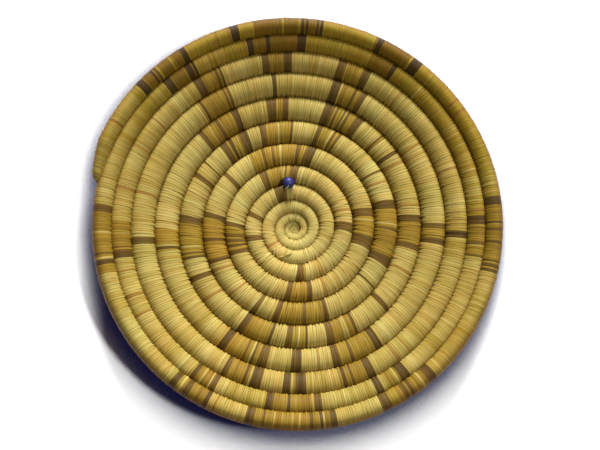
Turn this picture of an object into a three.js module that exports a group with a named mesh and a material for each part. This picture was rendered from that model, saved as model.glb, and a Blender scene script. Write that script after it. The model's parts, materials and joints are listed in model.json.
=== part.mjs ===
// Coiled basket tray. A bundle of grass stems is curled at the centre and wound out in a flat spiral
// that curves up to a rim, each turn lying against the one before. Narrow weft strands wrap the bundle
// and sew the turns together; they are drawn here as one sleeve for each turn. A drilled bead sits on a
// thread in the groove between two turns. Millimetres, +Z up; the origin is the coil's centre, on the
// surface that the tray rests on. Places along the coil are counted in turns: 0 is where the first full
// turn begins, and every whole number lies in the seam direction.
import * as THREE from 'three';

// How the coil is wound
const coilTurns = 12;
const curlTurns = 0.5; // the curl at the centre, before the first full turn
const seamDirection = 170; // degrees from +X
const curlRadius = 2.1; // centre line's distance from the middle, where the curl begins
const turnGap = 0.5; // room between neighbouring turns
const tailShortfall = 1.4; // degrees by which the tail stops short of the seam direction

// How thick the coil is
const startDiameter = 1.9;
const fullDiameter = 20.9;
const rimDiameter = 12.3;
const tailDiameter = 6.4;
const swellFrom = 0.45; // turns
const fullFrom = 8.5; // turns
const thinFrom = 8.95; // turns
const tailTaper = 11; // degrees over which the tail narrows

// The tray's profile, along the coil's centre line
const baseRadius = 82.5; // flat as far as this
const wallArc = 145; // radius of the curve from there up to the rim

// The weft wrapping, as a sleeve round the grass bundle
const strandThickness = 0.9;
const firstStrandThickness = 0.25; // split finer where the curl begins
const strandFullFrom = 2; // turns
const bundleClearance = 0.35;
const buttGap = 0.3; // between one sleeve and the next, along the coil
const endCover = 0.5; // wrapping over the bundle's two ends

// How finely the coil is faceted
const sides = 6; // a flat side faces down, so that the underside is cut flat
const stepsPerTurn = 24;
const stepsPerInnerTurn = 12;
const innerTurns = 4.6; // the turns that take fewer steps

// The knot that fills the eye of the curl
const knotHeight = 1.6;
const knotSides = 7;

// The bead and its thread
const beadDiameter = 10;
const beadEdge = 0.4; // rounding where the bore meets the outside
const beadTurn = 3.8; // turns: the bead lies over the groove outside this place on the coil
const beadTilt = 40; // degrees by which the inner end of its bore is raised
const beadSides = 20;
const beadSteps = 8; // along its outside, from one end of the bore to the other
const threadDiameter = 1;
const threadPlay = 0.8; // between the thread and the bead's bore, all round
const threadSides = 8;
const threadLift = 0.6; // how far the thread runs on straight beyond the bead
const threadSlack = 3.4; // how far it swings out before it comes down
const threadSteps = 16;
const contactGap = 0.3; // between pieces that touch

// Colours of the pieces
const colours = { straw: 0xc7b070, stems: 0xa98f55, knot: 0xd9c58a, glass: 0x26306f, cotton: 0xe3dccb };

const degrees = Math.PI / 180;
const flatToCorner = Math.cos(Math.PI / sides); // a hexagon's flats against its corners
const tailEnd = coilTurns - tailShortfall / 360;
const tailStart = tailEnd - tailTaper / 360;

// Radius of the wrapped coil, out to the corners of its section
function coilRadius(turn) {
  if (turn > tailStart) {
    const share = (turn - tailStart) / (tailEnd - tailStart);
    return THREE.MathUtils.lerp(coilRadius(tailStart), tailDiameter / 2, share);
  }
  if (turn > thinFrom) {
    const share = (turn - thinFrom) / (coilTurns - thinFrom);
    return THREE.MathUtils.lerp(fullDiameter, rimDiameter, share) / 2;
  }
  const share = THREE.MathUtils.clamp((turn - swellFrom) / (fullFrom - swellFrom), 0, 1);
  return (startDiameter + (fullDiameter - startDiameter) * Math.sin((share * Math.PI) / 2)) / 2;
}

// Distance of the centre line from the middle, measured along the tray's profile
function profileDistance(turn) {
  if (turn > 1 - curlTurns) {
    return profileDistance(turn - 1) + coilRadius(turn - 1) + turnGap + coilRadius(turn);
  }
  const pitch = coilRadius(-curlTurns) + turnGap + coilRadius(1 - curlTurns);
  return curlRadius + pitch * (turn + curlTurns);
}

// Where the centre line stands in the upright plane through the middle: radius, height and slope
function centreLine(turn) {
  const distance = profileDistance(turn);
  const slope = Math.max(distance - baseRadius, 0) / wallArc;
  const radius = slope > 0 ? baseRadius + wallArc * Math.sin(slope) : distance;
  const height = wallArc * (1 - Math.cos(slope)) + coilRadius(turn) * flatToCorner;
  return { radius, height, slope };
}

// A point of the tray from its radius and height in that plane
function place(turn, radius, height) {
  const angle = (seamDirection + 360 * turn) * degrees;
  return new THREE.Vector3(radius * Math.cos(angle), radius * Math.sin(angle), height);
}

// The corners of the coil's section, from the outer one up and round, none below the resting plane
function section(turn, cornerRadius) {
  const { radius, height, slope } = centreLine(turn);
  return Array.from({ length: sides }, (_, corner) => {
    const direction = slope + (corner * 2 * Math.PI) / sides;
    const cornerHeight = Math.max(height + cornerRadius * Math.sin(direction), 0);
    return place(turn, radius + cornerRadius * Math.cos(direction), cornerHeight);
  });
}

// Distance along the coil, turned into turns at that place
function lengthInTurns(turn, length) {
  return length / (2 * Math.PI * centreLine(turn).radius);
}

function strandAt(turn) {
  const share = THREE.MathUtils.clamp((turn + curlTurns) / (strandFullFrom + curlTurns), 0, 1);
  return THREE.MathUtils.lerp(firstStrandThickness, strandThickness, share);
}

const boreRadius = (turn) => coilRadius(turn) - strandAt(turn);
const bundleRadius = (turn) => boreRadius(turn) - bundleClearance;

// The places where the coil has a section between two of its places, both ends among them
function stations(from, to) {
  const shared = [tailStart];
  for (let step = Math.ceil(-curlTurns * stepsPerTurn); step <= coilTurns * stepsPerTurn; step += 1) {
    const coarse = step < innerTurns * stepsPerTurn;
    if (!coarse || step % (stepsPerTurn / stepsPerInnerTurn) === 0) shared.push(step / stepsPerTurn);
  }
  const apart = lengthInTurns(to, buttGap);
  const inside = shared.filter((turn) => turn > from + apart && turn < to - apart);
  return [from, ...inside.sort((a, b) => a - b), to];
}

// Collects the triangles of one closed body
class Skin {
  constructor() {
    this.points = [];
    this.indices = [];
  }

  ring(points) {
    const first = this.points.length;
    this.points.push(...points);
    return points.map((_, index) => first + index);
  }

  // A band between two rings of as many corners, facing out where the second lies further along the coil
  band(a, b) {
    for (let i = 0; i < a.length; i += 1) {
      const next = (i + 1) % a.length;
      this.indices.push(a[i], b[i], a[next], a[next], b[i], b[next]);
    }
  }

  tube(rings) {
    for (let i = 1; i < rings.length; i += 1) this.band(rings[i - 1], rings[i]);
  }

  cap(ring) {
    for (let i = 1; i < ring.length - 1; i += 1) this.indices.push(ring[0], ring[i], ring[i + 1]);
  }

  geometry() {
    const geometry = new THREE.BufferGeometry().setFromPoints(this.points);
    geometry.setIndex(this.indices);
    geometry.computeVertexNormals();
    return geometry;
  }
}

const reversed = (ring) => [...ring].reverse();

// The grass bundle: one unbroken tube along the coil
function bundleGeometry() {
  const from = -curlTurns + lengthInTurns(-curlTurns, endCover + contactGap);
  const to = tailEnd - lengthInTurns(tailEnd, endCover + contactGap);
  const skin = new Skin();
  const rings = stations(from, to).map((turn) => skin.ring(section(turn, bundleRadius(turn))));
  skin.tube(rings);
  skin.cap(rings[0]);
  skin.cap(reversed(rings.at(-1)));
  return skin.geometry();
}

// A sleeve of wrapping between two places on the coil. Its bore runs right through, unless one end
// covers the end of the bundle.
function sleeveGeometry(from, to, covered = 'none') {
  const boreFrom = covered === 'start' ? from + lengthInTurns(from, endCover) : from;
  const boreTo = covered === 'end' ? to - lengthInTurns(to, endCover) : to;
  const skin = new Skin();
  const outside = stations(from, to).map((turn) => skin.ring(section(turn, coilRadius(turn))));
  const bore = stations(boreFrom, boreTo).map((turn) => skin.ring(section(turn, boreRadius(turn))));
  skin.tube(outside);
  skin.tube(reversed(bore));
  if (covered === 'start') {
    skin.cap(outside[0]);
    skin.cap(reversed(bore[0]));
  } else {
    skin.band(bore[0], outside[0]);
  }
  if (covered === 'end') {
    skin.cap(reversed(outside.at(-1)));
    skin.cap(bore.at(-1));
  } else {
    skin.band(outside.at(-1), bore.at(-1));
  }
  return skin.geometry();
}

// The wrapping of one full turn, short of its neighbours by half a gap at each end
function turnGeometry(number) {
  const from = number - 1;
  const to = Math.min(number, tailStart);
  return sleeveGeometry(from + lengthInTurns(from, buttGap / 2), to - lengthInTurns(to, buttGap / 2));
}

// The turn inside the bead and the one outside it, in the upright plane through the bead
function turnsUnderBead() {
  return [beadTurn, beadTurn + 1].map((turn) => {
    const { radius, height, slope } = centreLine(turn);
    return { middle: new THREE.Vector2(radius, height), radius: coilRadius(turn), slope };
  });
}

// One of a turn's flat sides, counted up from the outer corner: its direction and distance
function flatSide(turn, side) {
  const direction = turn.slope + ((side + 0.5) * 2 * Math.PI) / sides;
  const normal = new THREE.Vector2(Math.cos(direction), Math.sin(direction));
  return { normal, distance: turn.radius * flatToCorner };
}

// The bead's centre, where its ball rests on both turns
function beadCentre() {
  const [inner, outer] = turnsUnderBead();
  const toInner = inner.radius + beadDiameter / 2 + contactGap;
  const toOuter = outer.radius + beadDiameter / 2 + contactGap;
  const across = outer.middle.clone().sub(inner.middle);
  const apart = across.length();
  const along = (apart ** 2 + toInner ** 2 - toOuter ** 2) / (2 * apart);
  const rise = Math.sqrt(toInner ** 2 - along ** 2);
  across.normalize();
  const up = new THREE.Vector2(-across.y, across.x);
  return inner.middle.clone().addScaledVector(across, along).addScaledVector(up, rise);
}

// The direction of the bore in that plane, towards its raised inner end
const boreDirection = new THREE.Vector2(-Math.cos(beadTilt * degrees), Math.sin(beadTilt * degrees));

const inBeadPlane = (point) => place(beadTurn, point.x, point.y);

// A drilled ball, its bore along the lathe's axis
function beadGeometry() {
  const ball = beadDiameter / 2;
  const bore = threadDiameter / 2 + threadPlay;
  const endAngle = Math.asin((bore + beadEdge) / ball);
  const endHeight = ball * Math.cos(endAngle);
  const profile = [];
  for (let step = 0; step <= beadSteps; step += 1) {
    const angle = THREE.MathUtils.lerp(Math.PI - endAngle, endAngle, step / beadSteps);
    profile.push(new THREE.Vector2(ball * Math.sin(angle), ball * Math.cos(angle)));
  }
  profile.push(new THREE.Vector2(bore, endHeight - beadEdge));
  profile.push(new THREE.Vector2(bore, beadEdge - endHeight));
  profile.push(profile[0].clone());
  return new THREE.LatheGeometry(profile, beadSides);
}

// The thread's route: out of the outer turn's wrapping, straight through the bore, over and down to the
// top of the inner turn
function threadRoute() {
  const [inner, outer] = turnsUnderBead();
  const centre = beadCentre();
  const root = flatSide(outer, 2);
  const square = boreDirection.dot(root.normal);
  const endTilt = (threadDiameter / 2) * Math.sqrt(1 - square ** 2);
  const toSide = centre.clone().sub(outer.middle).dot(root.normal) - root.distance;
  const low = centre.clone().addScaledVector(boreDirection, (contactGap + endTilt - toSide) / square);
  const high = centre.clone().addScaledVector(boreDirection, beadDiameter / 2 + threadLift);
  const top = flatSide(inner, 1);
  const landing = inner.middle.clone().addScaledVector(top.normal, top.distance + contactGap);
  const route = new THREE.CurvePath();
  route.add(new THREE.LineCurve3(inBeadPlane(low), inBeadPlane(high)));
  const over = high.clone().addScaledVector(boreDirection, threadSlack);
  const down = landing.clone().addScaledVector(top.normal, threadSlack);
  route.add(new THREE.CubicBezierCurve3(...[high, over, down, landing].map(inBeadPlane)));
  return route;
}

// A round section; an arc has two points for each of its curve segments
const round = (radius) => new THREE.Shape().absarc(0, 0, radius, 0, 2 * Math.PI);

function threadGeometry() {
  const options = { extrudePath: threadRoute(), steps: threadSteps, curveSegments: threadSides / 2 };
  return new THREE.ExtrudeGeometry(round(threadDiameter / 2), options);
}

function knotGeometry() {
  const radius = curlRadius - coilRadius(-curlTurns) - contactGap;
  const options = { depth: knotHeight, bevelEnabled: false, curveSegments: knotSides / 2 };
  return new THREE.ExtrudeGeometry(round(radius), options);
}

// The least distance between points on a tube along the coil that are half a turn or more apart
function leastGap(radiusAt) {
  const turns = stations(-curlTurns, tailEnd);
  const rings = turns.map((turn) => section(turn, radiusAt(turn)));
  let least = Infinity;
  for (let i = 0; i < turns.length; i += 1) {
    for (let j = i + 1; j < turns.length; j += 1) {
      if (turns[j] - turns[i] < 0.5) continue;
      const gaps = rings[i].flatMap((p) => rings[j].map((q) => p.distanceTo(q)));
      least = Math.min(least, ...gaps);
    }
  }
  return least;
}

console.log(`Least gap between turns: ${leastGap(coilRadius).toFixed(2)} mm outside the wrapping`);
console.log(`Least gap between turns of the grass bundle: ${leastGap(bundleRadius).toFixed(2)} mm`);

const tray = new THREE.Group();
tray.name = 'coiled_basket_tray';

function add(name, geometry, colour, roughness = 0.8) {
  const material = new THREE.MeshStandardMaterial({ color: colour, roughness, metalness: 0 });
  const mesh = new THREE.Mesh(geometry, material);
  mesh.name = name;
  tray.add(mesh);
  return mesh;
}

add('start_knot', knotGeometry(), colours.knot);
add('foundation_coil', bundleGeometry(), colours.stems, 0.9);
const bindingEnd = -lengthInTurns(0, buttGap / 2);
add('start_binding', sleeveGeometry(-curlTurns, bindingEnd, 'start'), colours.straw);
for (let number = 1; number <= coilTurns; number += 1) {
  add(`weft_turn_${String(number).padStart(2, '0')}`, turnGeometry(number), colours.straw);
}
const tailFrom = tailStart + lengthInTurns(tailStart, buttGap / 2);
add('tail_binding', sleeveGeometry(tailFrom, tailEnd, 'end'), colours.straw);

const bead = add('bead', beadGeometry(), colours.glass, 0.15);
bead.position.copy(inBeadPlane(beadCentre()));
const boreAxis = inBeadPlane(boreDirection);
bead.quaternion.setFromUnitVectors(new THREE.Vector3(0, 1, 0), boreAxis);
add('bead_thread', threadGeometry(), colours.cotton);

export default tray;
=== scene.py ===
"""Dresses the frame of a coiled basket tray: grass wrapped and sewn with straw, a glass bead, its thread."""
import json
import math
from types import SimpleNamespace

import bpy
import numpy as np
from bpy.props import FloatProperty, FloatVectorProperty, IntProperty, PointerProperty
from mathutils import Matrix, Vector


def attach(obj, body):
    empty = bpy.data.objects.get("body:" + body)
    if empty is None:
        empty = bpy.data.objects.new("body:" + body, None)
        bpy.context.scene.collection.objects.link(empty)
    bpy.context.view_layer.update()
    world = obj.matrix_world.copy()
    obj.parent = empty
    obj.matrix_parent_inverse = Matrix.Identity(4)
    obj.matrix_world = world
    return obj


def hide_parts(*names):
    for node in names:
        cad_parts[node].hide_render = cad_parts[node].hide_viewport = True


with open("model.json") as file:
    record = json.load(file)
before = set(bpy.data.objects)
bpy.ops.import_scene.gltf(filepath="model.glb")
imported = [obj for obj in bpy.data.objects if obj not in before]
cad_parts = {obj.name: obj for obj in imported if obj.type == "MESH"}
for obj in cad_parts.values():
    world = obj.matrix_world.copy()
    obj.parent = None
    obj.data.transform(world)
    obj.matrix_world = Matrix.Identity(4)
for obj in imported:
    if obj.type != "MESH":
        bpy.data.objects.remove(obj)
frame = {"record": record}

bl_info = {
    "name": "Coiled Basket Tray",
    "version": (1, 0, 0),
    "blender": (4, 5, 0),
    "location": "3D View > Sidebar > Basket",
    "description": "Wraps and sews the coils of a basket tray, and hangs its bead on a thread",
    "category": "Add Mesh",
}

MM = 0.001
TURN = 2 * math.pi
SEAM = 170  # the direction in which every turn begins, in degrees
FLAT_TO_CORNER = math.cos(TURN / 12)  # the coil's centre line stands this share of its radius above the base
LOWEST = 0.05 * MM  # no point of the wrapping lies lower
SPIN = frame["record"]["behaviour"]["joints"][0]  # the bead on its thread

# A strand's dyes, in the order of a wrapped piece's materials
STRAW, GOLD, BROWN, RED = range(4)

# The last of these is painted shade, darkest in the grooves, the gaps between strands and low places
STRAND_SHADES = ("tone", "tint", "painted_shade")  # what a wrapped piece's points carry for its materials
AGEING = (0.8, 1, 1.65)  # straw that darkens loses least of its red and most of its blue
# Straw with no painted shade on it
UNSHADED = (1, 1, 1)

# A strand's section has this many sides, and its loop round the coil this many steps
HOOP_SIDES, HOOP_STEPS = 5, 16

# Least and most: a strand's width and its reach, by their means, and its width by its room
WIDTH_LIMITS = (0.6, 1.5)
REACH_LIMITS = (0.8, 1.15)
ROOM_LIMITS = (1, 1.08)

# The dyed runs of each turn, in degrees round the tray, counted on from SEAM: brown from the first to the
# second, gold to the third, brown again to the fourth
RUNS = {
    4: [(463.3, 470, 470, 478.3), (522, 524, 524, 527)],
    5: [(190, 194, 194, 198.3), (271.3, 277, 277, 282.5), (355, 361, 361, 367.1), (447.5, 454.2, 476.7, 485)],
    6: [(175.8, 182, 200.8, 205.8), (262, 269.2, 281.7, 285.8), (344.6, 353.3, 368.8, 376.3),
        (435.4, 443.3, 483.3, 483.3), (501, 503, 503, 505)],
    7: [(171.7, 175.4, 202.1, 206.3), (244, 246, 246, 247.5), (256.3, 260.8, 289.2, 291),
        (322, 323, 323, 324), (337.1, 343.3, 372.1, 376.7), (394, 395, 395, 396), (423.8, 426.7, 435, 438.3),
        (451.7, 453.3, 467.1, 469.8), (478, 481.3, 490.4, 493.8), (504, 505, 505, 505.8),
        (512, 513, 513, 514.6)],
    8: [(175.4, 178.3, 197.5, 198.8), (207.5, 208.6, 208.6, 209.8), (241.7, 245, 256, 258.8),
        (265, 268.8, 275, 276.5), (286.3, 290, 299.6, 301.3), (317.5, 318.8, 318.8, 320),
        (349.2, 352.5, 363.2, 366.3), (396.7, 397.8, 397.8, 398.8), (405.4, 406.6, 406.6, 407.9),
        (417.5, 420.2, 432.1, 436.5), (453.3, 456.7, 460.8, 463.3), (476.7, 480, 494.2, 497.1)],
    9: [(182.1, 183.5, 190, 191.7), (238.3, 241.3, 254.8, 258.2), (268.8, 270.5, 270.5, 272.1),
        (285.7, 288.5, 303.8, 306.7), (352.5, 354.8, 360, 361.5), (422.1, 423.5, 432.3, 435.4),
        (457.1, 458.2, 458.2, 459.3), (475.8, 478.5, 487.9, 489.2)],
    10: [(184.6, 186, 186, 187.7), (243.5, 245.2, 255.4, 257.9), (265.3, 267.5, 271, 274),
         (285.4, 287.9, 295.7, 297.9), (355.4, 356.8, 356.8, 358.2), (424.3, 426.5, 432.3, 435.4),
         (451.7, 454, 459.2, 461.5), (476, 477.9, 483.3, 485.7)],
    11: [(179.6, 180.7, 189, 191.5), (235.4, 236.8, 242.7, 244.3), (260.4, 262.9, 275.7, 277.9),
         (295.4, 297.7, 304.2, 306.7), (349.8, 351, 361, 362.7), (417.1, 419.3, 426.5, 426.5),
         (447.1, 449.3, 463.2, 465.2), (482.8, 485, 490.8, 493.3)],
    12: [(175.4, 177.5, 195.4, 195.4), (232.1, 234.3, 242.7, 244.2), (255.7, 257.9, 279.8, 281.7),
         (294.8, 297.5, 302, 305), (305, 305, 309.8, 312.1), (346.3, 348.8, 365.4, 368.2),
         (411.8, 414.6, 424.2, 427.1), (442.5, 444.6, 462.1, 462.1), (466.5, 466.5, 466.5, 469.3),
         (482.8, 484.8, 497.3, 499.6)],
}

# Single red strands, by turn and degrees round the tray
RED_STRANDS = {
    4: [216.5, 219.5],
    5: [380.4],
    7: [211, 228, 388.8],
    8: [220.5, 338.7, 370.8],
    9: [394, 529],
    10: [307.7, 311.7, 380.4, 503.3, 513.8, 528.3],
    11: [196.3, 204.2, 211.3, 345.7],
    12: [397.8],
}

# Strand ends that have come undone: the dye, then where each starts and ends, in turns along the coil and in
# degrees round its section from the outer side
LOOSE_ENDS = [
    (RED, 3.266, 124, 3.212, 72),
    (STRAW, 3.226, 84, 3.196, 50),
    (STRAW, 3.168, 104, 3.196, 38),
    (STRAW, 3.156, 90, 3.182, 30),
]

# How far a strand's outer end lies before its inner end along the coil: turns, and millimetres
SLANTS = [(0, 0.4), (2, 1.2), (3.4, 3), (5, 3.4), (7, 3), (8, 2), (9, 1), (12, 0.4)]

# The knot's strand: share of its way in, and its distance from the middle or its radius in millimetres
KNOT_DISTANCE = [(0, 2.05), (0.25, 1.75), (0.5, 1.2), (0.75, 0.65), (1, 0.2)]
KNOT_RADIUS = [(0, 0.95), (0.3, 0.95), (0.7, 0.7), (1, 0.4)]


def amount(label, about, default, unit="NONE"):
    return FloatProperty(name=label, description=about, default=default, unit=unit)


def length(label, about, default):
    return FloatProperty(name=label, description=about, default=default, unit="LENGTH", precision=5)


def angle(label, about, default):
    return FloatProperty(name=label, description=about, default=math.radians(default), subtype="ANGLE")


def spot(label, about, *place):
    return FloatVectorProperty(name=label, description=about, default=place, subtype="XYZ", unit="LENGTH")


def colour(label, about, red, green, blue):
    """A colour given as it looks on screen, from 0 to 255."""
    def linear(value):
        value /= 255
        return value / 12.92 if value <= 0.04045 else ((value + 0.055) / 1.055) ** 2.4

    return FloatVectorProperty(
        name=label, description=about, subtype="COLOR", min=0, max=1,
        default=(linear(red), linear(green), linear(blue)),
    )


class CoilSizes(bpy.types.PropertyGroup):
    """The coil, as the frame has it"""

    turns: IntProperty(name="Turns", description="Full turns of the coil", default=12)
    curl: amount("Curl", "Turns of the curl before the first full turn", 0.5)
    seam: angle("Seam", "Direction in which every turn begins", SEAM)
    curl_radius: length("Curl radius", "Where the curl begins, from the middle", 2.1 * MM)
    turn_gap: length("Turn gap", "Room between neighbouring turns", 0.5 * MM)
    start_diameter: length("Start", "Thickness where the coil begins", 1.9 * MM)
    full_diameter: length("Full", "Greatest thickness", 20.9 * MM)
    rim_diameter: length("Rim", "Thickness at the rim", 12.3 * MM)
    tail_diameter: length("Tail", "Thickness where the coil ends", 6.4 * MM)
    swell_from: amount("Swells from", "Turn from which the coil swells", 0.45)
    full_from: amount("Full from", "Turn from which the coil is thickest", 8.5)
    thin_from: amount("Thins from", "Turn from which the coil thins", 8.95)
    tail_shortfall: angle("Tail shortfall", "How far the tail stops short of the seam", 1.4)
    tail_taper: angle("Tail taper", "Over how much of the turn the tail narrows", 11)
    tail_end: angle("Tail end", "Over how much of the turn the tail's end is rounded", 2.2)
    base_radius: length("Base radius", "How far out the tray is flat", 82.5 * MM)
    wall_arc: length("Wall arc", "Radius of the curve from the flat base up to the rim", 145 * MM)


class WeftSettings(bpy.types.PropertyGroup):
    """The straw that wraps and sews the coil"""

    pitch: length("Strand width", "Mean width of a strand", 2.02 * MM)
    centre_pitch: length("Centre width", "Mean width where the coil begins", 1.1 * MM)
    full_pitch_from: amount("Full width from", "Turn from which strands are full width", 3)
    variation: amount("Variation", "Spread of the widths", 0.19)
    thickness: length("Thickness", "Thickness of a strand", 0.5 * MM)
    flat_lift: amount("Flat lift", "Height of the lowest strands' middle, by their thickness", 0.7)
    squareness: amount("Squareness", "2 wraps the coil as a circle", 2.4)
    stitch_reach: length("Stitch reach", "How far a stitch goes into the turn before", 1.5 * MM)
    wrap_reach: length("Wrap reach", "How far a wrap bulges to the turn before", 0.9 * MM)
    uneven: amount("Uneven", "How often two stitches or two wraps are neighbours", 0.05)
    slant_spread: amount("Slant spread", "Spread of the slants", 0.12)
    lift: length("Lift", "Spread of the heights of strands", 0.09 * MM)
    wobble: length("Wobble", "How far a strand strays sideways", 0.09 * MM)
    seed: IntProperty(name="Seed", description="Start of the random numbers", default=12)
    stray_red: amount("Stray red", "Share of undyed strands that are red", 0.004)
    stray_brown: amount("Stray brown", "Share of golden strands that are brown", 0.08)
    stray_pale: amount("Stray pale", "Share of dyed strands that are a dye paler", 0.07)
    leaf_starts: amount("Leaf starts", "How often a strand starts a leaf", 0.14)
    leaf_tone: amount("Leaf tone", "Spread of the leaves' tones", 0.11)
    leaf_tint: amount("Leaf tint", "Spread of the leaves' tints", 0.17)
    strand_tone: amount("Strand tone", "Spread of tones within a leaf", 0.12)
    strand_tint: amount("Strand tint", "Spread of tints within a leaf", 0.15)
    mean_tint: amount("Mean tint", "0 for green, 1 for warm", 0.4)
    # Straw is paler towards the centre; the pale middle is partly painted light, lifting the centre where it
    # lies in shade
    centre_tone: amount("Centre tone", "How pale straw is at the centre", 1)
    rim_tone: amount("Rim tone", "How pale straw is at the rim", 0.38)
    # Painted shade on the outer turns, darker on the side of the rim that faces away from the light
    rim_shade: amount("Rim stain", "How much darker the stained side is", 0.8)
    shade_from: amount("Stain from", "Turn from which the rim is stained", 10)
    shade_side: angle("Stain side", "Direction of the stained side", 75)
    straw_light: colour("Straw, light", "Undyed straw at its palest", 210, 193, 121)
    straw_dark: colour("Straw, dark", "Undyed straw at its darkest", 160, 136, 42)
    gold_light: colour("Gold, light", "Golden straw at its palest", 178, 150, 56)
    gold_dark: colour("Gold, dark", "Golden straw at its darkest", 124, 95, 18)
    brown_light: colour("Brown, light", "Brown straw at its palest", 126, 99, 40)
    brown_dark: colour("Brown, dark", "Brown straw at its darkest", 64, 47, 12)
    red_light: colour("Red, light", "Reddish straw at its palest", 178, 142, 72)
    red_dark: colour("Red, dark", "Reddish straw at its darkest", 146, 110, 44)
    warm: colour("Warm", "Tint of the warmest straw", 255, 240, 218)
    green: colour("Green", "Tint of the greenest straw", 244, 250, 236)
    # Painted shade: how dark the gaps between strands and the grooves between turns are painted, where it
    # starts and is fullest, and its colour
    gap_shade: amount("Gap dirt", "Dirt in the gaps between strands", 0.38)
    groove_shade: amount("Groove dirt", "Dirt in the grooves between turns", 0.9)
    unshaded_from: amount("Clean from", "Height of the clean top, by the coil's radius", 0.6)
    full_shade_from: length("Dirty from", "Radius of the coil where dirt is thickest", 8 * MM)
    least_shade: amount("Least dirt", "Share of the dirt on thin coil", 0.35)
    painted_shade: colour("Dirt", "What the dirtiest straw is darkened with", 166, 120, 36)


class BundleSettings(bpy.types.PropertyGroup):
    """The grass inside the wrapping"""

    inset: length("Inset", "Depth below the middle of the strands", 0.6 * MM)
    inset_limit: amount("Inset limit", "Greatest inset, by the coil's radius", 0.4)
    short: length("Short", "How far it ends short of the wrapping", 0.6 * MM)
    reach: length("Reach", "How far it fills the groove to the turn before", 1.2 * MM)
    ridge: length("Ridge", "How far stems stand out of it", 0.16 * MM)
    # The grass's own colour, darkened further as painted shade where the stems show in the gaps between
    # strands
    light: colour("Light", "Grass stems at their palest", 96, 74, 32)
    dark: colour("Dark", "Grass stems at their darkest", 48, 34, 12)


class BeadSettings(bpy.types.PropertyGroup):
    """The bead and its thread"""

    diameter: length("Bead", "Diameter of the bead", 10 * MM)
    bore: length("Bore", "Diameter of the bead's bore", 2.6 * MM)
    edge: length("Edge", "Rounding where the bore meets the outside", 0.3 * MM)
    thread: length("Thread", "Diameter of the thread", 1 * MM)
    root: length("Root", "How far behind the bead the thread begins", 2.2 * MM)
    lay: length("Lay", "Length of thread with one full twist", 2.6 * MM)
    glass_light: colour("Glass, light", "Where light comes through", 32, 38, 126)
    glass_dark: colour("Glass, dark", "In the dark streaks", 9, 10, 52)
    # Painted shade: the wall of the bore is painted near-black
    inside: colour("Inside", "The wall of the bore", 5, 6, 24)
    cotton: colour("Cotton", "The thread", 248, 244, 236)
    grime: colour("Grime", "The thread where it is dirty", 176, 160, 128)


class StageSettings(bpy.types.PropertyGroup):
    """The camera, the lamps and the floor"""

    sideways: amount("Sideways", "Camera direction, X", -0.0563)
    forwards: amount("Forwards", "Camera direction, Y", -0.1629)
    distance: length("Distance", "Camera to the middle of the tray", 1.2)
    focal: amount("Focal length", "In millimetres", 82.76, "CAMERA")
    shift_right: amount("Shift right", "Camera shift, by the picture's width", 0.0105)
    shift_up: amount("Shift up", "Camera shift, by the picture's width", 0.008)
    high: amount("High lamp", "Power of the lamp to the right", 78, "POWER")
    high_spot: spot("High lamp's spot", "Where it hangs", 1.97, -0.35, 3.46)
    high_size: length("High lamp's size", "Its diameter", 0.5)
    low: amount("Low lamp", "Power of the lamp behind the tray", 320, "POWER")
    low_spot: spot("Low lamp's spot", "Where it hangs", 0.25, 3.6, 1.75)
    low_size: length("Low lamp's size", "Its diameter", 2)
    fill: amount("Fill", "Strength of the light from all round", 0.14)
    sky: colour("Sky", "Light from all round", 146, 140, 112)
    floor_size: length("Floor size", "Length of its sides", 6)
    floor_drop: length("Floor drop", "How far it lies below the tray", 0.4 * MM)
    floor: colour("Floor", "The floor, as it lights the tray", 200, 200, 200)
    seen: amount("Seen floor", "How bright the floor shows where it is lit", 2.5)
    shade: colour("Shade", "What shows in the floor's deepest shadow", 2, 6, 46)
    shade_reach: length("Shade reach", "How far off the tray shades the floor", 80 * MM)


def curve(place, points):
    """A value for each place, read off between points that are each a place and its value."""
    return np.interp(place, *zip(*points))


def unit(vectors):
    return vectors / np.linalg.norm(vectors, axis=1, keepdims=True)


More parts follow.
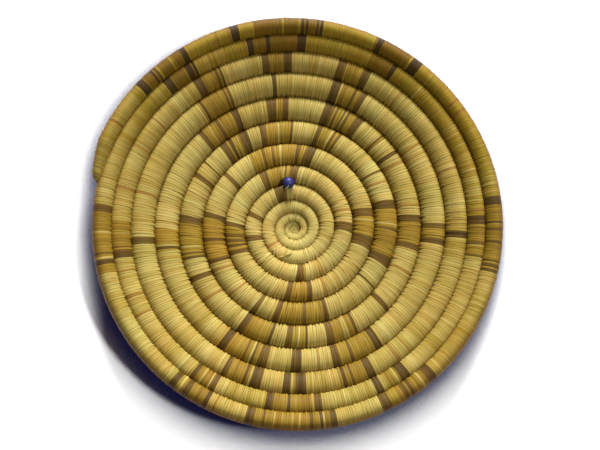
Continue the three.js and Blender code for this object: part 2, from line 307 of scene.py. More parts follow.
class Coil:
    """Where the coil runs and how thick it is. A place along it is counted in turns, as in the frame."""

    def __init__(self, sizes):
        self.sizes = sizes
        self.start = -sizes.curl
        self.end = sizes.turns - sizes.tail_shortfall / TURN
        self.tail_start = self.end - sizes.tail_taper / TURN

    def radius(self, place):
        """Half the thickness of the wrapped coil."""
        s = self.sizes
        swell = np.clip((place - s.swell_from) / (s.full_from - s.swell_from), 0, 1)
        swollen = s.start_diameter + (s.full_diameter - s.start_diameter) * np.sin(swell * TURN / 4)
        thinning = (np.minimum(place, self.tail_start) - s.thin_from) / (s.turns - s.thin_from)
        thinned = s.full_diameter + (s.rim_diameter - s.full_diameter) * thinning
        tail = np.clip((place - self.tail_start) / (self.end - self.tail_start), 0, 1)
        thinned = thinned + (s.tail_diameter - thinned) * tail
        past = np.clip(1 - (self.end - place) * TURN / s.tail_end, 0, 0.9)
        return np.where(place > s.thin_from, thinned * np.sqrt(1 - past**2), swollen) / 2

    def distance(self, place):
        """From the middle to the centre line, measured along the tray's profile."""
        s = self.sizes
        first = 1 - s.curl
        pitch = self.radius(self.start) + s.turn_gap + self.radius(first)
        total = np.zeros_like(place)
        inner = place.copy()
        while (inner > first).any():
            step = self.radius(inner - 1) + s.turn_gap + self.radius(inner)
            total += np.where(inner > first, step, 0)
            inner = np.where(inner > first, inner - 1, inner)
        return total + s.curl_radius + pitch * (inner + s.curl)

    def centre_line(self, place):
        """The centre line's distance from the upright axis, its height, and the slope of the tray there."""
        s = self.sizes
        distance = self.distance(place)
        slope = np.maximum(distance - s.base_radius, 0) / s.wall_arc
        out = np.where(slope > 0, s.base_radius + s.wall_arc * np.sin(slope), distance)
        height = s.wall_arc * (1 - np.cos(slope)) + self.radius(place) * FLAT_TO_CORNER
        return out, height, slope

    def point(self, place, out, height):
        direction = self.sizes.seam + TURN * place
        return np.stack([out * np.cos(direction), out * np.sin(direction), height], axis=-1)

    def reach(self, place, wanted):
        """How far the section's inner side is drawn out: as far as is wanted, or half its radius."""
        return np.minimum(wanted, 0.5 * self.radius(place))

    def around(self, place, round_angle, weft, reach, proud):
        """Points on the wrapping: round_angle is 0 on the outer side of the section and a quarter turn on its
        top, reach draws the inner side out, and proud lifts the point off the middle of the strands."""
        out, height, slope = self.centre_line(place)
        radius = self.radius(place)
        across, up = np.cos(round_angle), np.sin(round_angle)
        wide = radius + np.where(across < 0, reach, 0)
        high = np.where(up < 0, radius * FLAT_TO_CORNER - weft.flat_lift * weft.thickness, radius)
        power = weft.squareness
        spread = (np.abs(across / wide) ** power + np.abs(up / high) ** power) ** (-1 / power) + proud
        height = height + spread * np.sin(slope + round_angle)
        out = out + spread * np.cos(slope + round_angle)
        return self.point(place, out, np.maximum(height, LOWEST))


def deselect():
    if bpy.context.object and bpy.context.object.mode != "OBJECT":
        bpy.ops.object.mode_set(mode="OBJECT")
    bpy.ops.object.select_all(action="DESELECT")


def new_piece(name, points, faces, materials):
    """A smooth mesh object at the origin, from an array of points and an array of faces of one size."""
    mesh = bpy.data.meshes.new(name)
    corners = faces.shape[1]
    mesh.vertices.add(len(points))
    mesh.vertices.foreach_set("co", np.ascontiguousarray(points, np.float32).ravel())
    mesh.loops.add(faces.size)
    mesh.loops.foreach_set("vertex_index", np.ascontiguousarray(faces, np.int32).ravel())
    mesh.polygons.add(len(faces))
    mesh.polygons.foreach_set("loop_start", np.arange(0, faces.size, corners, dtype=np.int32))
    mesh.update(calc_edges=True)
    mesh.validate()
    for material in materials:
        mesh.materials.append(material)
    piece = bpy.data.objects.new(name, mesh)
    bpy.context.scene.collection.objects.link(piece)
    mesh.shade_smooth()
    return piece


def place_piece(piece, body, slot, *nodes):
    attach(piece, body)
    if nodes:
        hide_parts(*nodes)


def shade_points(piece, *shades):
    """Gives a piece's points their tone, tint and painted shade, each one number or a number a point."""
    for key, values in zip(STRAND_SHADES, shades):
        values = np.broadcast_to(values, len(piece.data.vertices)).astype(np.float32)
        piece.data.attributes.new(key, "FLOAT", "POINT").data.foreach_set("value", values)


class Finish:
    """A material's nodes, added one by one round its shader."""

    def __init__(self, name, **values):
        self.material = bpy.data.materials.new(name)
        self.material.use_nodes = True
        self.tree = self.material.node_tree
        self.shader = self.tree.nodes["Principled BSDF"]
        for socket, value in values.items():
            self.shader.inputs[socket.replace("_", " ")].default_value = value

    def add(self, kind, **values):
        node = self.tree.nodes.new("ShaderNode" + kind)
        for name, value in values.items():
            setattr(node, name, value)
        return node

    def link(self, output, socket):
        self.tree.links.new(output, socket)

    def feed(self, output, socket):
        """Links an output to the shader."""
        self.link(output, self.shader.inputs[socket])

    def where(self):
        """Where on the piece a point lies."""
        return self.add("TexCoord").outputs["Object"]

    def mix(self, factor, first, second, blend="MIX"):
        """A mix of two colours, each given as a colour or as another node's output."""
        node = self.add("Mix", data_type="RGBA", blend_type=blend)
        for socket, value in zip((node.inputs[0], node.inputs[6], node.inputs[7]), (factor, first, second)):
            if isinstance(value, bpy.types.NodeSocket):
                self.link(value, socket)
            elif isinstance(value, float):
                socket.default_value = value
            else:
                socket.default_value = (*value, 1)
        return node.outputs[2]

    def times(self, first, second):
        return self.mix(1.0, first, second, "MULTIPLY")

    def ramp(self, source, *stops, powers=(1, 1, 1)):
        """Looks the source up between stops, each a place and a grey, raised to a power in each channel."""
        node = self.add("ValToRGB")
        self.link(source, node.inputs[0])
        while len(node.color_ramp.elements) < len(stops):
            node.color_ramp.elements.new(1)
        for element, (place, grey) in zip(node.color_ramp.elements, stops):
            element.position = place
            element.color = (*(grey**power for power in powers), 1)
        return node.outputs[0]

    def noise(self, coordinates, scale, detail=2.0, stretch=(1, 1, 1)):
        mapping = self.add("Mapping")
        mapping.inputs["Scale"].default_value = stretch
        self.link(coordinates, mapping.inputs["Vector"])
        node = self.add("TexNoise")
        node.inputs["Scale"].default_value = scale
        node.inputs["Detail"].default_value = detail
        self.link(mapping.outputs[0], node.inputs["Vector"])
        return node.outputs[0]

    def bump(self, height, strength, distance):
        node = self.add("Bump")
        node.inputs["Strength"].default_value = strength
        node.inputs["Distance"].default_value = distance
        self.link(height, node.inputs["Height"])
        self.feed(node.outputs[0], "Normal")


def straw_finish(name, weft, light, dark, tinting):
    """Dyed or undyed straw: each strand's own tone and tint, with fibres that run along it, darkened by the
    painted shade its points carry.
    """
    finish = Finish(name, Specular_IOR_Level=0.15)
    tone, tint, painted_shade = (finish.add("Attribute", attribute_name=key).outputs["Fac"] for key in STRAND_SHADES)
    shade = finish.mix(tone, dark, light)
    lean = finish.mix(tint, weft.green, weft.warm)
    shade = finish.mix(tinting, shade, finish.times(shade, lean))
    strip = finish.add("UVMap", uv_map="OFBake").outputs[0]
    fibres = finish.noise(strip, scale=1, detail=3, stretch=(1100, 14, 1))
    shade = finish.times(shade, finish.ramp(fibres, (0.3, 0.78), (0.7, 1.06), powers=AGEING))
    stains = finish.noise(finish.where(), scale=70, detail=3)
    shade = finish.times(shade, finish.ramp(stains, (0.3, 0.86), (0.65, 1.03), powers=AGEING))
    # Painted shade in the grooves, in the gaps between strands and in low places
    shade = finish.times(shade, finish.mix(painted_shade, UNSHADED, weft.painted_shade))
    finish.feed(shade, "Base Color")
    finish.feed(finish.ramp(fibres, (0.2, 0.5), (0.8, 0.72)), "Roughness")
    finish.bump(fibres, strength=0.5, distance=0.06 * MM)
    return finish.material


def straw_finishes(weft):
    """The four finishes of the weft, in the order of the dyes."""
    names = ["straw", "golden straw", "brown straw", "red straw"]
    if names[0] not in bpy.data.materials:
        straw_finish(names[STRAW], weft, weft.straw_light, weft.straw_dark, tinting=1.0)
        straw_finish(names[GOLD], weft, weft.gold_light, weft.gold_dark, tinting=0.8)
        straw_finish(names[BROWN], weft, weft.brown_light, weft.brown_dark, tinting=0.8)
        straw_finish(names[RED], weft, weft.red_light, weft.red_dark, tinting=0.5)
    return [bpy.data.materials[name] for name in names]


def grass_finish(bundle):
    """Dry grass stems with a fine grain."""
    finish = Finish("grass stems", Roughness=0.85)
    grain = finish.noise(finish.where(), scale=900, detail=4)
    finish.feed(finish.mix(grain, bundle.dark, bundle.light), "Base Color")
    finish.bump(grain, strength=0.6, distance=0.1 * MM)
    return finish.material


def glass_finish(sizes):
    """Blue glass with darker streaks in it and a slightly pitted skin."""
    finish = Finish("blue glass", Roughness=0.45, Specular_IOR_Level=0.4)
    where = finish.where()
    streaks = finish.noise(where, scale=260, detail=3, stretch=(1, 1, 2.5))
    finish.feed(finish.mix(streaks, sizes.glass_dark, sizes.glass_light), "Base Color")
    finish.bump(finish.noise(where, scale=900), strength=0.12, distance=0.05 * MM)
    return finish.material


def cotton_finish(sizes):
    """White cotton, dirty in places and fluffy all over."""
    finish = Finish("cotton thread", Roughness=0.9)
    where = finish.where()
    stain = finish.ramp(finish.noise(where, scale=300), (0.4, 0), (0.7, 0.6))
    finish.feed(finish.mix(stain, sizes.cotton, sizes.grime), "Base Color")
    finish.bump(finish.noise(where, scale=1500, detail=4), strength=0.8, distance=0.08 * MM)
    return finish.material


def dye_strands(coil, weft, place, rng):
    """Each strand's dye, and its tone and tint within it."""
    count = len(place)
    dye = np.full(count, STRAW)
    turn = np.floor(place).astype(int) + 1
    degrees = SEAM + 360 * (place - turn + 1)
    for number, runs in RUNS.items():
        for brown, gold, brown_again, end in runs:
            there = (turn == number) & (degrees >= brown) & (degrees < end)
            middle = there & (degrees >= gold) & (degrees < brown_again)
            dye[there] = BROWN
            dye[middle] = GOLD
    chance = rng.random(count)
    dye[(dye == STRAW) & (chance < weft.stray_red)] = RED
    dye[(dye == GOLD) & (chance < weft.stray_brown)] = BROWN
    dye[(dye == GOLD) & (chance > 1 - weft.stray_pale)] = STRAW
    dye[(dye == BROWN) & (chance > 1 - weft.stray_pale)] = GOLD
    for number, lines in RED_STRANDS.items():
        for line in lines:
            nearest = np.argmin(np.where(turn == number, np.abs(degrees - line), np.inf))
            dye[nearest] = RED
    # Strands split from one leaf follow each other and look alike
    leaves = np.cumsum(rng.random(count) < weft.leaf_starts)
    leaf_tone = rng.normal(0, weft.leaf_tone, leaves[-1] + 1)
    leaf_tint = rng.normal(0, weft.leaf_tint, leaves[-1] + 1)
    # Paler towards the centre and darker towards the rim; the pale centre is partly painted light, lifting
    # the middle where it lies in shade
    tone = np.interp(place, (0, coil.sizes.turns), (weft.centre_tone, weft.rim_tone))
    # Painted shade: the outer turns are darker on the side that faces away from the light
    shadowed = np.clip(np.cos(np.radians(degrees) - weft.shade_side), 0, 1)
    tone = tone - weft.rim_shade * np.clip(place - weft.shade_from, 0, 1) * shadowed
    tone = tone + leaf_tone[leaves] + rng.normal(0, weft.strand_tone, count)
    tint = weft.mean_tint + leaf_tint[leaves] + rng.normal(0, weft.strand_tint, count)
    return dye, np.clip(tone, 0, 1), np.clip(tint, 0, 1)


def all_strands(coil, weft):
    """Every strand from the curl to the tail, in order along the coil."""
    rng = np.random.default_rng(weft.seed)
    samples = 9000
    places = np.linspace(coil.start, coil.end, samples)
    steps = np.diff(places) * TURN * coil.centre_line(places)[0][1:]
    pitch = np.interp(places, (coil.start, weft.full_pitch_from), (weft.centre_pitch, weft.pitch))
    strands_run = np.concatenate([[0], np.cumsum(steps / pitch[1:])])
    count = int(strands_run[-1])
    widths = np.clip(rng.normal(1, weft.variation, count), *WIDTH_LIMITS)
    widths *= strands_run[-1] / widths.sum()
    place = np.interp(np.cumsum(widths) - widths / 2, strands_run, places)
    widths *= np.interp(place, places, pitch)
    # Stitches and plain wraps take turns, but for a slip now and then
    stitch = (np.arange(count) + np.cumsum(rng.random(count) < weft.uneven)) % 2 == 0
    reach = np.where(stitch, weft.stitch_reach, weft.wrap_reach) * rng.uniform(*REACH_LIMITS, count)
    slant = curve(place, SLANTS) * MM * (1 + weft.slant_spread * rng.normal(size=count))
    dye, tone, tint = dye_strands(coil, weft, place, rng)
    return SimpleNamespace(
        place=place,
        half_width=widths / 2 * rng.uniform(*ROOM_LIMITS, count),
        reach=coil.reach(place, reach),
        slant=slant,
        lift=rng.normal(0, weft.lift, count),
        wobble=rng.normal(0, weft.wobble, count),
        phase=rng.uniform(0, TURN, count),
        dye=dye,
        tone=tone,
        tint=tint,
    )


def hoop():
    """One strand as a closed hoop: a section with its ridge outwards, swept round. It is read back as points
    and faces, to be laid along the coil."""
    hoop_radius = 3  # the section's own radius is 1
    deselect()
    bpy.ops.mesh.primitive_circle_add(vertices=HOOP_SIDES, radius=1, rotation=(TURN / 4, TURN / 4, 0))
    ring = bpy.context.object
    bpy.ops.object.transform_apply(location=True, rotation=True, scale=True)
    bpy.ops.object.mode_set(mode="EDIT")
    bpy.ops.mesh.select_all(action="SELECT")
    bpy.ops.transform.translate(value=(hoop_radius, 0, 0))
    bpy.ops.mesh.spin(steps=HOOP_STEPS, angle=TURN, center=(0, 0, 0), axis=(0, 0, 1))
    bpy.ops.mesh.select_all(action="SELECT")
    bpy.ops.mesh.remove_doubles(threshold=1e-4)
    bpy.ops.mesh.normals_make_consistent(inside=False)
    bpy.ops.object.mode_set(mode="OBJECT")
    mesh = ring.data
    points = np.array([vertex.co for vertex in mesh.vertices])
    faces = np.array([list(face.vertices) for face in mesh.polygons])
    bpy.data.objects.remove(ring)
    round_angle = np.arctan2(points[:, 1], points[:, 0])
    out = np.hypot(points[:, 0], points[:, 1]) - hoop_radius
    side = points[:, 2]
    # Where a face's corner lies in the strand's strip of the map: along it, and across it
    along = (round_angle / TURN)[faces] % 1
    along = along + (along < along.max(axis=1, keepdims=True) - 0.5)
    across = (np.arctan2(side, -out) / TURN)[faces] % 1
    across = across + (across < across.max(axis=1, keepdims=True) - 0.5)
    return SimpleNamespace(
        round_angle=round_angle, out=out, side=side, faces=faces, along=along.ravel(), across=across.ravel()
    )


def strip_map(piece, loop, count):
    """A map in which each strand has a strip of its own, the strips side by side in a few rows."""
    rows = 4
    side_margin, end_margin = 0.05, 0.02
    columns = math.ceil(count / rows)
    row, column = np.divmod(np.arange(count), columns)
    first_corner = 0.5 / HOOP_SIDES
    across = (loop.across - first_corner) / (1 + first_corner)
    along = loop.along / (1 + 1 / HOOP_STEPS)
    u = (column[:, None] + side_margin + (1 - 2 * side_margin) * across[None]) / columns
    v = (row[:, None] + end_margin + (1 - 2 * end_margin) * along[None]) / rows
    uv = np.stack([u, v], axis=-1).reshape(-1, 2)
    layer = piece.data.uv_layers.new(name="OFBake")
    layer.data.foreach_set("uv", uv.astype(np.float32).ravel())


def painted_strand_shade(coil, weft, loop, place):
    """How much painted shade each strand's points get. It lies in the grooves between turns and in the gaps
    between strands, less of it where the coil is thin."""
    in_groove = 1 - np.clip(np.sin(loop.round_angle[None]) / weft.unshaded_from, 0, 1)
    in_gap = np.clip(1.2 * np.abs(loop.side[None]) - 0.15, 0, 1)  # none of it on the ridge
    painted_shade = 1 - (1 - weft.groove_shade * in_groove) * (1 - weft.gap_shade * in_gap)
    return painted_shade * np.clip(coil.radius(place) / weft.full_shade_from, weft.least_shade, 1)


def sharpen_sides(mesh, loop):
    """Marks the edges along the two sides of each strand as sharp, for a strand is flat straw."""
    edges = np.empty(2 * len(mesh.edges), np.int32)
    mesh.edges.foreach_get("vertices", edges)
    on_side = np.abs(loop.side) > 0.9
    sharp = on_side[edges.reshape(-1, 2) % len(on_side)].all(axis=1)
    mesh.attributes.new("sharp_edge", "BOOLEAN", "EDGE").data.foreach_set("value", sharp)
    mesh.update()


def wrap(name, coil, weft, loop, strands, chosen):
    """Lays the chosen strands round the coil, each a closed loop, as one piece."""
    s = SimpleNamespace(**{key: values[chosen][:, None] for key, values in vars(strands).items()})
    count, corners = len(s.place), len(loop.side)
    turned = loop.round_angle[None]
    along = s.half_width * -loop.side[None]
    along = along - s.slant / 2 * np.cos(turned) + s.wobble * np.sin(2 * turned + s.phase)
    place = s.place + along / (TURN * coil.centre_line(s.place)[0])
    proud = s.lift + weft.thickness / 2 * loop.out[None]
    points = coil.around(place, turned, weft, s.reach, proud)
    first = np.arange(count)[:, None, None] * corners
    faces = (loop.faces[None] + first).reshape(-1, 4)
    piece = new_piece(name, points.reshape(-1, 3), faces, straw_finishes(weft))
    piece.data.polygons.foreach_set("material_index", np.repeat(s.dye.ravel(), len(loop.faces)))
    strip_map(piece, loop, count)
    shades = (s.tone, s.tint, painted_strand_shade(coil, weft, loop, s.place))
    shade_points(piece, *(np.broadcast_to(values, (count, corners)).ravel() for values in shades))
    sharpen_sides(piece.data, loop)
    return piece


def closed_tube(rings):
    """Points and triangles of a tube through rings of points, each end closed over its middle. A ring turns
    clockwise for someone who looks along the tube."""
    steps, sides = rings.shape[:2]
    step, corner = np.meshgrid(np.arange(steps - 1) * sides, np.arange(sides), indexing="ij")
    after = (corner + 1) % sides
    quads = np.stack([step + corner, step + sides + corner, step + sides + after, step + after], axis=-1)
    quads = quads.reshape(-1, 4)
    around = np.arange(sides)
    following = (around + 1) % sides
    last = (steps - 1) * sides
    near, far = np.full(sides, steps * sides), np.full(sides, steps * sides + 1)
    triangles = [quads[:, [0, 1, 2]], quads[:, [0, 2, 3]], np.stack([around, following, near], axis=-1),
                 np.stack([last + following, last + around, far], axis=-1)]
    points = [rings.reshape(-1, 3), rings[0].mean(axis=0), rings[-1].mean(axis=0)]
    return np.vstack(points), np.vstack(triangles)


def sweep(route, radius, sides=8):
    """A closed tube along a route."""
    ahead = unit(np.gradient(route, axis=0))
    side = np.cross(ahead, (0.0, 0.0, 1.0))
    side[np.linalg.norm(side, axis=1) < 1e-6] = (1, 0, 0)  # where the route goes straight up
    side = unit(side)
    up = np.cross(side, ahead)
    turned = -np.arange(sides) * TURN / sides
    ring = np.cos(turned)[None, :, None] * side[:, None] + np.sin(turned)[None, :, None] * up[:, None]
    return closed_tube(route[:, None] + np.broadcast_to(radius, len(route))[:, None, None] * ring)


def sweep_piece(name, routes, finish, sides=8):
    """One piece of several tubes, each given as a route and its radius."""
    points, faces, first = [], [], 0
    for route, radius in routes:
        tube, triangles = sweep(route, radius, sides)
        points.append(tube)
        faces.append(triangles + first)
        first += len(tube)
    return new_piece(name, np.vstack(points), np.vstack(faces), [finish])


class BASKET_OT_camera(bpy.types.Operator):
    """Sets up the camera over the tray"""

    bl_idname = "basket.camera"
    bl_label = "Camera"

    def execute(self, context):
        stage = context.scene.basket_stage
        towards = Vector((stage.sideways, stage.forwards, 0))
        towards.z = math.sqrt(1 - towards.length_squared)
        right = Vector((0, 1, 0)).cross(towards).normalized()
        turned = Matrix((right, towards.cross(right), towards)).transposed()
        deselect()
        bpy.ops.object.camera_add(location=towards * stage.distance, rotation=turned.to_euler())
        camera = context.object
        camera.data.lens = stage.focal
        camera.data.shift_x = stage.shift_right
        camera.data.shift_y = stage.shift_up
        context.scene.camera = camera
        return {"FINISHED"}


class BASKET_OT_bundle(bpy.types.Operator):
    """Runs the grass bundle along the coil, under the wrapping"""

    bl_idname = "basket.bundle"
    bl_label = "Grass bundle"

    def execute(self, context):
        scene = context.scene
        weft, bundle = scene.basket_weft, scene.basket_bundle
        coil = Coil(scene.basket_coil)
        stems, steps = 24, 1150
        waves, lag = 40, 3  # how fast a stem comes up and goes under, and how far its neighbour lags behind
        short = bundle.short / (TURN * coil.centre_line(np.array([coil.start, coil.end]))[0])
        place = np.linspace(coil.start + short[0], coil.end - short[1], steps)[:, None]
        turned = (np.arange(stems) * TURN / stems)[None]
        depth = np.minimum(bundle.inset, bundle.inset_limit * coil.radius(place))
        stem = np.arange(stems)[None] % 2 * bundle.ridge * np.sin(place * waves + turned * lag)
        reach = coil.reach(place, bundle.reach)
        points, faces = closed_tube(coil.around(place, turned, weft, reach, stem - depth))
        piece = new_piece("grass_bundle", points, faces, [grass_finish(bundle)])
        place_piece(piece, "tray", "grass_bundle", "foundation_coil")
        return {"FINISHED"}


class BASKET_OT_knot(bpy.types.Operator):
    """Curls one strand into the knot that fills the eye of the coil"""

    bl_idname = "basket.knot"
    bl_label = "Start knot"

    def execute(self, context):
        weft, sizes = context.scene.basket_weft, context.scene.basket_coil
        # It goes on inwards and upwards from where the curl begins, thinner and thinner
        turns_in, climb, ridges, ridge_height = 1.15, 1.6 * MM, 14, 0.05
        share = np.linspace(0, 1, 90)
        turned = sizes.seam - TURN * (sizes.curl + turns_in * share)
        out = curve(share, KNOT_DISTANCE) * MM
        radius = curve(share, KNOT_RADIUS) * MM * (1 + ridge_height * np.sin(share * ridges * TURN))
        height = radius + climb * share
        route = np.stack([out * np.cos(turned), out * np.sin(turned), height], axis=-1)
        # A flat round bed lies under it
        bed, bed_radius = np.array([[0, 0, 0.1], [0, 0, 0.45]]) * MM, 2.4 * MM
        tubes = [(route, radius), (bed, bed_radius)]
        piece = sweep_piece("knot", tubes, straw_finishes(weft)[STRAW], sides=14)
        # It is at the palest tone, painted light that lifts it out of the shade of the turns round it, with
        # painted shade below, darker the lower it lies
        unshaded_height, most_shade = 1.6, 0.8
        heights = np.array([vertex.co.z for vertex in piece.data.vertices])
        shade_points(piece, 1, 0.5, np.clip(unshaded_height - heights / MM, 0, most_shade))
        place_piece(piece, "tray", "strand", "start_knot")
        return {"FINISHED"}


class BASKET_OT_loose_ends(bpy.types.Operator):
    """Lays the strand ends that have come undone over their turn"""

    bl_idname = "basket.loose_ends"
    bl_label = "Loose ends"

    def execute(self, context):
        weft = context.scene.basket_weft
        coil = Coil(context.scene.basket_coil)
        share = np.linspace(0, 1, 20)
        # Each stands off the wrapping in an arch, and narrows towards its end
        proud = (0.1 + 0.7 * np.sin(share * TURN / 2)) * MM
        radius = 0.42 * MM * (1 - 0.7 * share**6)
        for number, (dye, start, start_angle, end, end_angle) in enumerate(LOOSE_ENDS, 1):
            turned = np.radians(start_angle + (end_angle - start_angle) * share)
            route = coil.around(start + (end - start) * share, turned, weft, 0, proud)
            piece = sweep_piece(f"loose_end_{number}", [(route, radius)], straw_finishes(weft)[dye])
            shade_points(piece, 1, 0.5, 0)
            place_piece(piece, "tray", "strand")
        return {"FINISHED"}


class BASKET_OT_weft(bpy.types.Operator):
    """Wraps and sews the coil with strands: the curl, each turn, and the tail"""

    bl_idname = "basket.weft"
    bl_label = "Weft"

    def execute(self, context):
        scene = context.scene
        weft = scene.basket_weft
        coil = Coil(scene.basket_coil)
        loop = hoop()
        strands = all_strands(coil, weft)
        curl = wrap("wrapped_curl", coil, weft, loop, strands, strands.place < 0)
        place_piece(curl, "tray", "strand", "start_binding")
        for number in range(1, coil.sizes.turns + 1):
            until = min(number, coil.tail_start)
            chosen = (strands.place >= number - 1) & (strands.place < until)
            turn = wrap(f"wrapped_turn_{number:02d}", coil, weft, loop, strands, chosen)
            place_piece(turn, "tray", "strand", f"weft_turn_{number:02d}")
        tail = wrap("wrapped_tail", coil, weft, loop, strands, strands.place >= coil.tail_start)
        place_piece(tail, "tray", "strand", "tail_binding")
        return {"FINISHED"}


class BASKET_OT_bead(bpy.types.Operator):
    """Drills a glass bead and sets it in its groove"""

    bl_idname = "basket.bead"
    bl_label = "Bead"

    def execute(self, context):
        sizes = context.scene.basket_bead
        ball, mouth = sizes.diameter / 2, sizes.bore / 2 + sizes.edge / 2
        deselect()
        bpy.ops.mesh.primitive_uv_sphere_add(segments=48, ring_count=32, radius=ball)
        piece = context.object
        piece.name = piece.data.name = "glass_bead"
        bpy.ops.object.mode_set(mode="EDIT")
        cut = math.sqrt(ball**2 - mouth**2)
        for way in (1, -1):
            bpy.ops.mesh.select_all(action="SELECT")
            bpy.ops.mesh.bisect(plane_co=(0, 0, way * cut), plane_no=(0, 0, way), clear_outer=True)
        bpy.ops.mesh.select_all(action="DESELECT")
        bpy.ops.mesh.select_non_manifold()
        bpy.ops.mesh.bridge_edge_loops()
        bpy.ops.mesh.select_all(action="SELECT")
        bpy.ops.mesh.normals_make_consistent(inside=False)
        bpy.ops.object.mode_set(mode="OBJECT")
        bevel = piece.modifiers.new("rounding", "BEVEL")
        bevel.width, bevel.segments, bevel.limit_method = sizes.edge, 3, "ANGLE"
        bevel.angle_limit = math.radians(40)
        bpy.ops.object.modifier_apply(modifier=bevel.name)
        bpy.ops.object.shade_smooth_by_angle(angle=math.radians(50))
        # The faces round the bore take the second material, a painted shade
        for face in piece.data.polygons:
            if face.center.xy.length < mouth:
                face.material_index = 1
        turned = Vector((0, 0, 1)).rotation_difference(Vector(SPIN["axis"])).to_matrix().to_4x4()
        piece.data.transform(Matrix.Translation(SPIN["pos_m"]) @ turned)
        inside = Finish("dirt in the bore", Roughness=0.9, Base_Color=(*sizes.inside, 1))
        for material in (glass_finish(sizes), inside.material):
            piece.data.materials.append(material)
        place_piece(piece, "bead", "bead_glass", "bead")
        return {"FINISHED"}


def thread_route(sizes):
    """The thread's middle line, straight through the bead and then down beside it, with its length up to each
    point and up to the bore's mouth."""
    centre, axis = np.array(SPIN["pos_m"]), np.array(SPIN["axis"])
    ball = sizes.diameter / 2
    root = centre - axis * (ball + sizes.root)
    # It leaves the bore off its middle, leans over the edge and lands in the groove
    mouth = centre + axis * (ball - 0.6 * MM) + np.array([-0.5, 0, -0.2]) * MM
    over = mouth + axis * 1.2 * MM + np.array([-1.4, -0.2, -0.4]) * MM
    landing = centre + np.array([-3, -4.4, -5.2]) * MM
    down = landing + np.array([0, -0.6, 3.4]) * MM
    share = np.linspace(0, 1, 60)[:, None]
    straight = root + (mouth - root) * share
    bent = ((1 - share) ** 3 * mouth + 3 * (1 - share) ** 2 * share * over
            + 3 * (1 - share) * share**2 * down + share**3 * landing)
    route = np.vstack([straight, bent[1:]])
    gone = np.concatenate([[0], np.cumsum(np.linalg.norm(np.diff(route, axis=0), axis=1))])
    return route, gone, np.linalg.norm(mouth - root)


class BASKET_OT_thread(bpy.types.Operator):
    """Twists the thread of two plies and leads it through the bead"""

    bl_idname = "basket.thread"
    bl_label = "Thread"

    def execute(self, context):
        sizes = context.scene.basket_bead
        route, gone, to_mouth = thread_route(sizes)
        ahead = unit(np.gradient(route, axis=0))
        side = unit(np.cross(ahead, np.cross(SPIN["axis"], (0, 0, 1))))
        up = np.cross(side, ahead)
        # The plies press together, and swell where the thread bends over the edge
        bend, bend_length = to_mouth + 1.9 * MM, 0.7 * MM
        swollen = 1.12 + 1.1 * np.exp(-(((gone - bend) / bend_length) ** 2))
        ply_radius = sizes.thread / 4
        plies = []
        for ply in range(2):
            turned = (gone / sizes.lay * TURN + ply * TURN / 2)[:, None]
            swing = ply_radius * (np.cos(turned) * side + np.sin(turned) * up)
            plies.append((route + swing, ply_radius * swollen))
        piece = sweep_piece("twisted_thread", plies, cotton_finish(sizes), sides=10)
        place_piece(piece, "tray", "thread", "bead_thread")
        return {"FINISHED"}


def seen_rays(tree):
    """1 for rays by which the camera sees, straight or through shine or glass, and 0 for others."""
    rays = tree.nodes.new("ShaderNodeLightPath")
    seen = rays.outputs["Is Camera Ray"]
    for kind in ("Is Glossy Ray", "Is Transmission Ray"):
        either = tree.nodes.new("ShaderNodeMath")
        either.operation = "MAXIMUM"
        tree.links.new(seen, either.inputs[0])
        tree.links.new(rays.outputs[kind], either.inputs[1])
        seen = either.outputs[0]
    return seen


def floor_finish(stage):
    """The floor lights the tray at one plain level. Where it is seen it shows brighter, and shaded under and
    near the tray."""
    finish = Finish("floor", Roughness=1.0, Specular_IOR_Level=0, Emission_Color=(*stage.shade, 1))
    seen = seen_rays(finish.tree)
    nearness = finish.add("AmbientOcclusion", samples=16)
    nearness.inputs["Distance"].default_value = stage.shade_reach
    under = finish.ramp(nearness.outputs["AO"], (0.62, 0.06), (0.9, 1), powers=(1, 0.98, 0.9))
    bright = finish.times((stage.seen, stage.seen, stage.seen), under)
    finish.feed(finish.mix(seen, stage.floor, bright), "Base Color")
    finish.feed(seen, "Emission Strength")
    return finish.material


def hang_lamp(name, power, place, size):
    """A round lamp, turned to the middle of the tray."""
    deselect()
    bpy.ops.object.light_add(type="AREA", location=place)
    lamp = bpy.context.object
    lamp.name = name
    lamp.data.energy = power
    lamp.data.shape = "DISK"
    lamp.data.size = size
    lamp.rotation_euler = Vector(place).to_track_quat("Z", "Y").to_euler()


def soft_world(stage):
    """Dim light from all round, which shows as white where it is seen."""
    world = bpy.data.worlds.new("soft light")
    world.use_nodes = True
    nodes, links = world.node_tree.nodes, world.node_tree.links
    soft = nodes["Background"]
    soft.inputs["Color"].default_value = (*stage.sky, 1)
    soft.inputs["Strength"].default_value = stage.fill
    white = nodes.new("ShaderNodeBackground")
    white.inputs["Color"].default_value = (1, 1, 1, 1)
    mix = nodes.new("ShaderNodeMixShader")
    links.new(seen_rays(world.node_tree), mix.inputs[0])
    links.new(soft.outputs[0], mix.inputs[1])
    links.new(white.outputs[0], mix.inputs[2])
    links.new(mix.outputs[0], nodes["World Output"].inputs["Surface"])
    return world


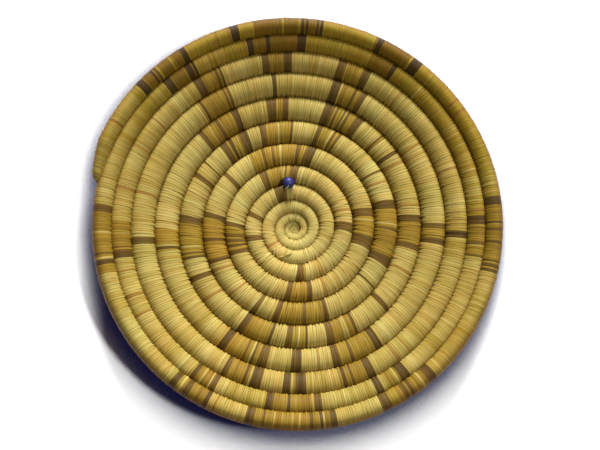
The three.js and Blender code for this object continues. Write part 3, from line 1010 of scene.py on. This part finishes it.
class BASKET_OT_stage(bpy.types.Operator):
    """Lays the floor and hangs the lamps"""

    bl_idname = "basket.stage"
    bl_label = "Stage"

    def execute(self, context):
        scene = context.scene
        stage = scene.basket_stage
        deselect()
        bpy.ops.mesh.primitive_plane_add(size=stage.floor_size, location=(0, 0, -stage.floor_drop))
        floor = context.object
        floor.name = "floor"
        floor.data.materials.append(floor_finish(stage))
        hang_lamp("high lamp", stage.high, stage.high_spot, stage.high_size)
        hang_lamp("low lamp", stage.low, stage.low_spot, stage.low_size)
        scene.world = soft_world(stage)
        scene.view_settings.view_transform = "Standard"
        return {"FINISHED"}


class BASKET_PT_tray(bpy.types.Panel):
    """The pieces of the tray"""

    bl_idname = "BASKET_PT_tray"
    bl_label = "Coiled Basket Tray"
    bl_space_type = "VIEW_3D"
    bl_region_type = "UI"
    bl_category = "Basket"

    def draw(self, context):
        for group in GROUPS:
            box = self.layout.box()
            box.label(text=group.__doc__)
            values = getattr(context.scene, GROUPS[group])
            for name in group.__annotations__:
                box.prop(values, name)
        for operator in OPERATORS:
            self.layout.operator(operator.bl_idname)


GROUPS = {
    CoilSizes: "basket_coil",
    WeftSettings: "basket_weft",
    BundleSettings: "basket_bundle",
    BeadSettings: "basket_bead",
    StageSettings: "basket_stage",
}
OPERATORS = (
    BASKET_OT_camera,
    BASKET_OT_stage,
    BASKET_OT_bundle,
    BASKET_OT_knot,
    BASKET_OT_weft,
    BASKET_OT_loose_ends,
    BASKET_OT_bead,
    BASKET_OT_thread,
)


def register():
    for group, name in GROUPS.items():
        bpy.utils.register_class(group)
        setattr(bpy.types.Scene, name, PointerProperty(type=group))
    for shown in (*OPERATORS, BASKET_PT_tray):
        bpy.utils.register_class(shown)


def unregister():
    for shown in (BASKET_PT_tray, *reversed(OPERATORS)):
        bpy.utils.unregister_class(shown)
    for group, name in GROUPS.items():
        delattr(bpy.types.Scene, name)
        bpy.utils.unregister_class(group)


def main():
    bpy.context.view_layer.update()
    register()
    bpy.ops.basket.camera()
    bpy.ops.basket.stage()
    bpy.ops.basket.bundle()
    bpy.ops.basket.knot()
    bpy.ops.basket.weft()
    bpy.ops.basket.loose_ends()
    bpy.ops.basket.bead()
    bpy.ops.basket.thread()


if __name__ == "__main__":
    main()
